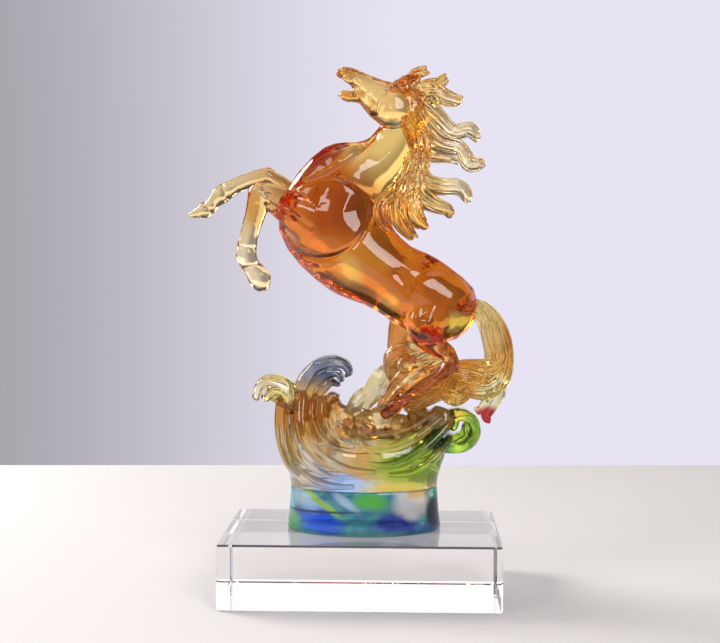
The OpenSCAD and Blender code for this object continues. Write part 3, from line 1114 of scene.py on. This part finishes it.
@dataclass
class Hair:
    """The mane and the tail, each one casting of many locks."""

    forelock: tuple[Lock, ...] = locks((
        ((31, -2, 238, 4, 4), (27, -3, 244, 3.6, 3.4), (29, -3, 248.5, 2.8, 3),
            (35, -3, 250.5, 1.6, 1.6)),
        ((30, 2, 238, 4, 4), (35, 3, 242.5, 4, 3.8), (41, 3, 244, 3.2, 3),
            (45.5, 2, 247, 1.6, 1.6)),
        ((29, -2, 238, 5, 4.5), (38, -2, 239.5, 4.8, 4.2), (46, -1, 236, 3.8, 3.6),
            (54, 0, 234, 2, 2)),
    ), 3)
    crest: tuple[Lock, ...] = locks((
        ((27, 0, 236, 6, 5.5), (34, 0, 231, 7, 5.5), (42, 0, 224, 6, 5), (50, 1, 217.5, 4.8, 4.4),
            (57.5, 1, 219, 4.2, 3.8), (63, 1, 214.5, 2.4, 2.2)),
        ((29, -2, 229, 6, 5), (34, -3, 219, 7, 5.5), (43, -2, 211, 6, 5), (53, -1, 208.5, 5, 4.2),
            (58, 0, 200.5, 4.6, 3.8), (66, 0, 200, 2.2, 2.2)),
        ((28, 3, 228, 6, 5), (32, 5, 216, 6.5, 5), (37, 6, 207, 5.5, 4.5), (47, 6, 204.5, 3.4, 3),
            (54, 6, 202, 1.4, 1.4)),
        ((26, -3, 222, 6, 5), (31, -6, 212, 7, 5.5), (31, -7, 201, 6, 5), (28, -8, 192, 5, 4.5)),
    ), 5)
    fall: tuple[Lock, ...] = locks((
        ((28, -3, 202, 7, 5.5), (34, -4, 191, 6, 5.5), (44, -4, 188, 4.8, 4.6),
            (53, -3, 187.5, 4.2, 4), (58, -3, 180.5, 2.2, 2)),
        ((27, -4, 196, 7, 6), (31, -6, 184, 6.5, 5.6), (39, -6, 178.5, 4.6, 4.4),
            (46, -5, 175.5, 3.2, 3.2), (47.5, -5, 172, 1.6, 1.6)),
        ((26, -6, 193, 7, 6), (26, -10, 180, 7, 5.6), (29, -11, 171, 5, 4.6), (35, -10, 166, 2, 2)),
        ((24, -7, 190, 7, 6), (20, -12, 178, 6, 5), (22, -13, 168, 4.6, 4), (28, -12, 160, 2, 2)),
        ((20, -8, 186, 6, 5), (12, -14, 179, 4.6, 4.4), (11, -16, 171, 4, 4), (16, -15, 164, 2, 2)),
        ((24, 4, 194, 7, 6), (20, 9, 180, 6, 5.4), (22, 11, 168, 4.4, 4), (28, 10, 161, 1.8, 2)),
    ), 4)
    tail: tuple[Lock, ...] = locks((
        ((55, 0, 123, 4, 6), (64, -2, 122.5, 4.2, 6), (70, -2, 115, 5, 6), (73, -2, 104, 6, 6),
            (75, -1, 95, 5.6, 6), (70, -2, 89.5, 5.2, 6), (60, -3, 89.5, 5, 5.4),
            (49, -3, 88.5, 4.6, 5), (41, -3, 84, 3.4, 4)),
        ((56, 1, 124, 4, 6), (66, 1, 123, 3.4, 5.6), (74, 1, 115, 4, 6), (79, 1, 103, 4, 6),
            (79.5, 1, 91, 4.2, 6), (76.5, 0, 82, 5, 6), (69, -2, 77, 5.4, 5.6),
            (60, -3, 77.5, 5, 5), (52, -4, 80, 3.6, 4.4)),
        ((60, 4, 122, 4, 5), (68, 5, 114, 5, 5), (72, 6, 102, 6, 5.6), (73, 7, 90, 6, 6),
            (63, 8, 83, 6.4, 5.4), (50, 8, 79, 6.4, 5), (37, 7, 72, 5, 4.6), (26, 6, 66, 4, 4)),
        ((64, -4, 84, 4.6, 5), (54, -6, 86.5, 4.2, 4.6), (46.5, -6, 82.5, 4, 4.4),
            (46, -6, 75, 3.8, 4.2), (51.5, -6, 71.5, 3.4, 4), (57, -6, 74.5, 2.6, 3.4),
            (56, -6, 79, 2, 2.6)),
        ((52, -5, 73, 4, 4), (43, -7, 76, 4.2, 4), (34, -8, 72.5, 4.2, 4), (26, -8, 67, 3, 3.4)),
    ), 5, fan=0.1, stagger=0.3)
    tip: tuple[Lock, ...] = locks((
        ((76.5, 1, 78, 2.4, 3), (75, 2, 74, 3.2, 3.6), (71.5, 3, 67.5, 2.6, 3), (68, 2, 62, 2, 2.4),
            (70.5, 2, 60, 1.4, 1.6)),
        ((70, 0, 75, 2, 3), (69, 1, 71, 2.4, 3.2), (66, 1, 66.5, 1.8, 2.2), (63, 1, 65, 1.2, 1.6)),
    ), 2)

    def build(self) -> dict[str, bpy.types.Object]:
        """Sweep and weld each group of locks.

        Returns:
            The pieces by name.
        """
        groups = {
            "mane": self.forelock + self.crest + self.fall,
            "tail": self.tail,
            "tail_end": self.tip,
        }
        made = {}
        for name, group in groups.items():
            parts = [bm for lock in group for bm in lock.build(HAIR)]
            made[name] = welded(name, parts)
            smooth(made[name])
        return made


# ---- Wave and foot ----


@dataclass
class Wave:
    """The breaking wave: its body, flutes, ribbons, crests, petals, rocks, foam and curl."""

    swell: tuple[Station, ...] = (
        (1, 0, 24.05, 40.5, 24), (1, 0, 31, 41.5, 24), (1, 0, 40, 44.5, 23), (1, 0, 48, 46, 20),
        (2, 0, 51, 42, 16),
    )
    flutes: tuple[tuple[Station, ...], ...] = (
        ((-44.2, 0, 70, 3.3, 8), (-44.5, 0, 58, 3.6, 11), (-42, 0, 45, 3.8, 15),
            (-35, 0, 34, 3.8, 20), (-22, 0, 28, 3.4, 23.8), (-4, 0, 27, 2, 24.4)),
        ((-38.8, 0, 68, 2.4, 5), (-39.2, 0, 58, 3, 8), (-36, 0, 47, 3.4, 13),
            (-28.5, 0, 38, 3.4, 18.5), (-14, 0, 32, 2.8, 22.8), (4, 0, 31, 2, 24)),
        ((-33, 0, 72, 4, 10.5), (-33.2, 0, 60, 4.4, 14), (-29.5, 0, 50, 4.6, 18.5),
            (-21, 0, 42, 4.4, 22.5), (-8, 0, 36.5, 3.6, 24.8), (8, 0, 35, 2, 24.6)),
        ((-27.6, 0, 70, 2.2, 7), (-27.6, 0, 62, 2.6, 9.5), (-24, 0, 53.5, 2.6, 13.5),
            (-16, 0, 47, 2.4, 18.5), (-6, 0, 43.5, 2, 21.5)),
        ((-22.5, 0, 70, 3.2, 10), (-22.6, 0, 63, 3.8, 13), (-19.5, 0, 56, 3.8, 16.5),
            (-12.5, 0, 50, 3.2, 20.5), (-4, 0, 48, 2, 21.5)),
        ((4, 0, 54, 1.4, 15), (16, 0, 54.5, 1.8, 15.5), (29, 0, 58.5, 1.8, 14),
            (41, 0, 66, 1.4, 11)),
        ((-2, 0, 50, 2.2, 19), (6, 0, 46.5, 3.2, 21), (18, 0, 47, 3.6, 20.5), (31, 0, 53, 3.2, 18),
            (44, 0, 63, 2.2, 13)),
        ((0, 0, 41, 2, 22.5), (10, 0, 38.5, 3, 23.8), (22, 0, 40, 3.6, 23), (36, 0, 48, 3.2, 19.5),
            (48, 0, 60, 2.2, 13)),
        ((16, 0, 33.5, 2, 24.6), (28, 0, 34.5, 2.8, 24), (39, 0, 41, 2.8, 20.5),
            (48, 0, 51, 2, 14)),
    )
    left_crest: tuple[tuple[Station, ...], ...] = (
        ((-38, -2, 70, 3.4, 8), (-40.5, -2, 78.5, 3.8, 9), (-47.5, -2, 82, 3.6, 9.5),
            (-54.5, -2, 80.5, 3.4, 9), (-57.5, -2, 74, 2.8, 7)),
        ((-38.5, -2, 68, 3, 7.5), (-42, -2, 75.5, 3.2, 8.5), (-48, -2, 76.5, 3.2, 8.5),
            (-52, -2, 73, 2.6, 7)),
        ((-40, -2, 66, 2.6, 7), (-43, -2, 70.5, 2.8, 7), (-47, -2, 72, 2.4, 6)),
        ((-39, -2, 69, 5, 5.4), (-45, -2, 74.5, 6, 6), (-51, -2, 76.5, 5, 6),
            (-55, -2, 75, 3, 5.4)),
    )
    blue_crest: tuple[tuple[Station, ...], ...] = (
        ((-34.5, 2, 62, 4, 8), (-34.8, 2, 72, 4.4, 9), (-31.8, 2, 81.5, 4.4, 9.5),
            (-25.5, 2, 89, 4, 9.5), (-17, 2, 92.3, 3.6, 9), (-10, 2, 90.8, 3, 8),
            (-7, 2, 86.5, 2.2, 6.5), (-8.5, 2, 84.5, 1.2, 5)),
        ((-29.5, 2, 62, 3.6, 8), (-29.5, 2, 72, 3.8, 8.5), (-26.5, 2, 79.5, 3.6, 9),
            (-20.5, 2, 85, 3.4, 9), (-14, 2, 86, 2.6, 8), (-11.5, 2, 82.5, 1.6, 6.5)),
        ((-25, 2, 62, 3.2, 8), (-25, 2, 70, 3.4, 8.5), (-22, 2, 76.5, 3.2, 8.5),
            (-17.5, 2, 80.5, 2.6, 8), (-13.5, 2, 79.5, 1.4, 6)),
        ((-20.5, 2, 62, 3, 7.5), (-20, 2, 68, 2.8, 8), (-17, 2, 73, 2.4, 7), (-14, 2, 73, 1.4, 5)),
    )
    curl: tuple[tuple[Station, ...], ...] = (
        ((38, -3, 49, 4.6, 8), (48, -3, 46.5, 4.2, 8.5), (57, -3, 47.5, 3.8, 8.5),
            (62, -3, 54, 3.4, 8), (59.5, -3, 61.5, 3.2, 7.5), (52.5, -3, 62.5, 2.8, 7),
            (50.5, -3, 57.5, 2.4, 6)),
        ((40, -3, 57, 3.4, 7), (48, -3, 63.5, 3, 7.5), (56, -3, 65, 2.2, 7), (61, -3, 61, 1.8, 6)),
        ((50, -4, 50, 3, 8), (55.5, -4, 52.5, 2.6, 7.5), (56.5, -4, 57, 1.8, 6.5)),
    )
    foam: tuple[tuple[Station, ...], ...] = (
        ((32, 5, 98, 5, 6), (24, 5, 98, 5, 6.4), (17.5, 5, 95, 4.8, 6.6), (16.5, 5, 89, 4.6, 6.6),
            (20, 5, 83, 5, 7)),
        ((42, 3, 97, 5, 6), (34, 3, 93, 6, 8), (27, 3, 87, 7, 9), (22, 3, 79, 7, 9),
            (18, 3, 70, 6, 9)),
        ((47, 3, 90, 5, 7), (42, 3, 84, 6, 8), (36, 3, 78, 6.5, 9), (29, 3, 70, 6, 9)),
        ((31, -3, 92, 2.2, 3), (25, -4, 94, 2, 3), (21, -4, 91, 1.9, 3), (23, -4, 87.5, 1.8, 2.6),
            (27, -4, 88.5, 1.6, 2.4)),
        ((44, -6, 84, 2.2, 3), (37, -7, 83, 2.2, 3), (32, -7, 79, 2, 3), (33, -7, 75, 1.8, 2.6),
            (37, -7, 75, 1.6, 2.4)),
        ((34, -6, 86, 1.8, 3), (28, -7, 82, 2.2, 3), (25, -7, 76, 2, 3), (22, -7, 70, 2, 3)),
    )
    petals: tuple[tuple[Station, ...], ...] = (
        ((-6, 4, 66, 3.6, 5), (-1, 4, 71, 6, 6), (6, 4, 75, 5, 5.4), (11, 4, 78, 2.4, 3.4)),
        ((3, 7, 69, 4, 5), (7, 7, 76, 7, 6), (11, 7, 84, 6, 5.4), (14.5, 7, 89, 2.6, 3.6)),
        ((12, 9, 76, 4, 5), (16, 9, 84, 5, 5), (18, 9, 90, 3, 3.6)),
    )
    rocks: tuple[tuple[float, ...], ...] = (
        (-11, -5, 58, 7, 9, 11), (2, -6, 56, 8, 9, 10), (11, -4, 60, 7, 9, 9), (32, -1, 58, 9, 10, 9),
        (43, -5, 61, 8, 8, 7), (-8, 8, 58, 9, 8, 10), (33, 10, 56, 8, 7, 9), (-15, 0, 63, 6, 8, 9),
        (20, -6, 57, 6, 8, 8),
    )

    @staticmethod
    def lump(row: Sequence[float], swirl: float) -> bmesh.types.BMesh:
        """Make a rounded lump with a swirled surface.

        Args:
            row: Centre, then half sizes along X, Y and Z, in mm.
            swirl: How deep the swirls are, from 0.

        Returns:
            The closed mesh.
        """
        bm = bmesh.new()
        bmesh.ops.create_icosphere(bm, subdivisions=4, radius=1.0)
        x, y, z, a, b, c = row
        for v in bm.verts:
            turn = 3.5 * v.co.x + 2.5 * v.co.z + x
            v.co *= 1 + swirl * math.sin(turn + 2.2 * math.sin(2.4 * v.co.z + z + v.co.y))
        place = Matrix.Translation((x, y, z)) @ Matrix.Diagonal((a, b, c, 1))
        bmesh.ops.transform(bm, matrix=place, verts=bm.verts)
        return bm

    def body(self) -> bmesh.types.BMesh:
        """Make the wave's flat-bottomed body.

        Returns:
            The closed mesh.
        """
        path = Path(self.swell)
        rings = []
        for j in range(17):
            x, y, z, a, b = path.at(path.last * j / 16)
            rings.append(Matrix.Translation((x, y, z)) @ Matrix.Diagonal((a, b, 1, 1)))
        return drawn(Profile(sides=96), rings)

    def build(self) -> dict[str, bpy.types.Object]:
        """Make the wave's pieces.

        Returns:
            The pieces by name.
        """
        flute = Profile(sides=44, power=3.6)
        fin = Profile(sides=36, power=2.6)
        grooved = Profile(sides=48, lobes=6, depth=0.10, twist=2.0)
        facet = Profile(sides=6)
        made = {
            "wave_body": [self.body(), *(sweep(Path(row), flute, 6) for row in self.flutes)],
            "left_crest_shell": [sweep(Path(row), fin, 6) for row in self.left_crest],
            "blue_crest_claw": [sweep(Path(row), fin, 6) for row in self.blue_crest],
            "green_curl_scroll": [sweep(Path(row), fin, 6) for row in self.curl],
            "foam_swirls": [sweep(Path(row), grooved, 6) for row in self.foam],
            "spray_petal_blades": [sweep(Path(row), facet, 2) for row in self.petals],
            "splash_heap": [self.lump(row, 0.09) for row in self.rocks],
        }
        pieces = {name: welded(name, parts) for name, parts in made.items()}
        for name, piece in pieces.items():
            smooth(piece, 18 if name == "spray_petal_blades" else 38)
        return pieces


@dataclass
class Foot:
    """The casting's oval foot and the clear film under it."""

    length: float = 85.0
    depth: float = 52.0
    height: float = 24.0
    gap: float = 0.05
    film: float = 0.3
    sides: int = 128

    def tower(self, levels: Sequence[tuple[float, float]]) -> bmesh.types.BMesh:
        """Stack ovals into a closed form.

        Args:
            levels: Height and inset of each oval, in mm.

        Returns:
            The closed mesh.
        """
        rings = [
            Matrix.Translation((1, 0, z))
            @ Matrix.Diagonal((self.length / 2 - inset, self.depth / 2 - inset, 1, 1))
            for z, inset in levels
        ]
        return drawn(Profile(sides=self.sides), rings)

    def build(self) -> dict[str, bpy.types.Object]:
        """Make the foot and the film.

        Returns:
            The pieces by the CAD node that each stands for.
        """
        base, top = self.film, self.height
        foot = self.tower((
            (base, 0.9), (base + 0.25, 0.35), (base + 0.9, 0.05), (base + 2, 0.1), (base + 8, 0.9),
            (base + 15, 1.5), (top - 2, 1.9), (top - 0.7, 2.1), (top - 0.2, 2.5), (top, 3.2),
        ))
        film = self.tower(((self.gap, 0.6), (self.film - self.gap, 0.6)))
        made = {"casting_foot": welded("oval_foot", [foot]), "bond_film": welded("bond_layer", [film])}
        smooth(made["casting_foot"], 50)
        smooth(made["bond_film"], 30)
        return made


# ---- Studio ----


@dataclass
class Softbox:
    """A soft rectangular light, in metres and watts."""

    name: str
    place: Point
    aim: Point
    size: tuple[float, float]
    power: float
    tint: Colour = (1.0, 0.96, 0.93)

    def build(self) -> None:
        """Hang the light and turn it to its aim."""
        data = bpy.data.lights.new(self.name, "AREA")
        data.shape = "RECTANGLE"
        data.size, data.size_y = self.size
        data.energy = self.power
        data.color = self.tint
        light = bpy.data.objects.new(self.name, data)
        light.location = self.place
        turn = (Vector(self.aim) - Vector(self.place)).to_track_quat("-Z", "Y")
        light.rotation_euler = turn.to_euler()
        light.visible_camera = False
        bpy.context.scene.collection.objects.link(light)


@dataclass
class Studio:
    """The pale floor, the soft surroundings, the lights and the camera.

    Colours are linear. Heights and depths in the surroundings are parts of a unit direction.
    """

    floor_colour: Colour = (0.725, 0.71, 0.705)
    wall_dim: Colour = (0.37, 0.355, 0.39)
    wall_bright: Colour = (0.80, 0.77, 0.89)
    ceiling: Colour = (0.10, 0.095, 0.10)
    band: Colour = (1.20, 1.15, 1.18)
    dark_room: Colour = (0.05, 0.045, 0.05)
    fill: Colour = (0.41, 0.40, 0.41)
    bounces: int = 24
    camera_place: Point = (0.0252, -0.6856, 0.1925)
    camera_tilt: float = -0.0628
    lens: float = 62.46
    sensor: float = 36.0
    floor_side: float = 1.5
    floor_back: float = 0.39
    floor_drop: float = 0.0003
    yaw: float = 0.0384
    softboxes: tuple[Softbox, ...] = (
        Softbox("key_softbox", (-1.02, 0.38, 0.76), (0.0, 0.0, 0.08), (0.60, 0.60), 15.0),
        Softbox("left_softbox", (-0.80, -0.60, 0.90), (0.0, 0.0, 0.17), (0.4, 0.4), 2.4),
        Softbox("right_softbox", (0.42, -0.88, 0.66), (0.0, 0.0, 0.17), (0.42, 0.42), 4.4),
        Softbox("front_card", (-0.20, -0.95, 0.56), (0.0, 0.0, 0.17), (0.13, 0.10), 0.3),
        Softbox("top_softbox", (0.10, 0.20, 1.40), (0.0, 0.0, 0.10), (1.0, 0.7), 2.4),
    )

    def floor(self) -> None:
        """Lay the plain pale floor."""
        bm = bmesh.new()
        bmesh.ops.create_grid(bm, x_segments=1, y_segments=1, size=1.0)
        depth = (self.floor_side + self.floor_back) / 2
        middle = (self.floor_back - self.floor_side) / 2
        place = (
            Matrix.Rotation(self.yaw, 4, "Z")
            @ Matrix.Translation((0, middle, -self.floor_drop))
            @ Matrix.Diagonal((self.floor_side, depth, 1, 1))
        )
        bmesh.ops.transform(bm, matrix=place, verts=bm.verts)
        mesh = bpy.data.meshes.new("floor")
        bm.to_mesh(mesh)
        bm.free()
        floor = bpy.data.objects.new("floor", mesh)
        bpy.context.scene.collection.objects.link(floor)
        material = bpy.data.materials.new("pale_floor")
        material.use_nodes = True
        shader = material.node_tree.nodes["Principled BSDF"]
        shader.inputs["Base Color"].default_value = (*self.floor_colour, 1)
        shader.inputs["Roughness"].default_value = 0.8
        shader.inputs["Specular IOR Level"].default_value = 0.1
        mesh.materials.append(material)

    def surroundings(self) -> None:
        """Wrap the set in lavender walls under a dark ceiling.

        Reflections see a dark room in front and a pale band low at the back, and light that has
        left a matt surface sees an even grey.
        """
        world = bpy.data.worlds.new("studio")
        bpy.context.scene.world = world
        world.use_nodes = True
        s = Sockets(world.node_tree)
        way = s.add("ShaderNodeTexCoord").outputs["Generated"]
        apart = s.add("ShaderNodeSeparateXYZ")
        s.feed(apart.inputs[0], way)
        lean = s.maths("ADD", s.maths("MULTIPLY", apart.outputs["X"], 0.35), 0.5)
        wall = s.mixed(s.ramp(lean, 0.37, 0.51), (*self.wall_dim, 1), (*self.wall_bright, 1))
        high = s.mixed(s.ramp(apart.outputs["Z"], 0.26, 0.55), wall, (*self.ceiling, 1))
        light = s.add("ShaderNodeLightPath")
        glossy = light.outputs["Is Glossy Ray"]
        front = s.ramp(apart.outputs["Y"], 0.15, -0.35)
        unlit = s.maths("MULTIPLY", s.maths("MULTIPLY", front, glossy), 0.85)
        above = s.ramp(apart.outputs["Z"], 0.10, 0.16)
        below = s.ramp(apart.outputs["Z"], 0.36, 0.28)
        low_band = s.maths("MULTIPLY", above, below)
        low_band = s.maths("MULTIPLY", low_band, s.ramp(apart.outputs["Y"], 0.5, 0.8))
        low_band = s.maths("MULTIPLY", low_band, glossy)
        around = s.mixed(unlit, s.mixed(low_band, high, (*self.band, 1)), (*self.dark_room, 1))
        around = s.mixed(light.outputs["Diffuse Depth"], around, (*self.fill, 1))
        s.feed(world.node_tree.nodes["Background"].inputs["Color"], around)

    def camera(self) -> None:
        """Set the camera in front, a little above and to the right."""
        data = bpy.data.cameras.new("camera")
        data.lens, data.sensor_width = self.lens, self.sensor
        data.clip_start, data.clip_end = 0.01, 20.0
        camera = bpy.data.objects.new("camera", data)
        camera.location = self.camera_place
        camera.rotation_euler = (math.pi / 2 + self.camera_tilt, 0.0, self.yaw)
        bpy.context.scene.collection.objects.link(camera)
        bpy.context.scene.camera = camera

    def build(self) -> None:
        """Set up the whole studio."""
        self.floor()
        self.surroundings()
        for box in self.softboxes:
            box.build()
        self.camera()
        scene = bpy.context.scene
        scene.view_settings.view_transform = "Standard"
        scene.cycles.max_bounces = self.bounces
        scene.cycles.transmission_bounces = self.bounces
        scene.cycles.glossy_bounces = self.bounces
        log.info("studio: floor, surroundings, %d softboxes, camera", len(self.softboxes))


# ---- Assembly ----


def main() -> None:
    """Build the figurine's looks over its CAD frame, piece by piece."""
    logging.basicConfig(level=logging.INFO, format="%(name)s: %(message)s")
    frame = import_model()
    groups = GlassGroups()
    Studio().build()

    plinth = frame["nodes"]["plinth"]
    plinth.data.materials.clear()
    plinth.data.materials.append(CLEAR.build(groups))
    log.info("plinth: the CAD block in clear optical glass")

    foot = Foot().build()
    issue(foot["casting_foot"], ("casting_foot",), FOOT.build(groups))
    issue(foot["bond_film"], ("bond_film",), FILM.build(groups))

    water = WATER.build(groups)
    wave = Wave().build()
    body_nodes = ("swell", "front_ribs", "back_ribs", "ribbon_waves")
    issue(wave["wave_body"], body_nodes, water)
    issue(wave["left_crest_shell"], ("left_crest",), CREST.build(groups))
    issue(wave["blue_crest_claw"], ("blue_crest",), BLUE.build(groups))
    issue(wave["spray_petal_blades"], ("spray_petals",), PETAL.build(groups))
    issue(wave["splash_heap"], ("splash_rocks",), ROCK.build(groups))
    issue(wave["foam_swirls"], ("leg_foam",), FOAM.build(groups))
    issue(wave["green_curl_scroll"], ("green_curl",), CURL.build(groups))

    horse = Horse()
    issue(horse.build(frame["nodes"]), horse.nodes, HORSE.build(groups))

    hair = Hair().build()
    mane_nodes = ("mane_forelock", "mane_crest", "mane_fall")
    issue(hair["mane"], mane_nodes, MANE.build(groups))
    issue(hair["tail"], ("tail_root", "tail_sweep"), TAIL.build(groups))
    issue(hair["tail_end"], ("tail_tip",), TIP.build(groups))


if __name__ == "__main__":
    main()
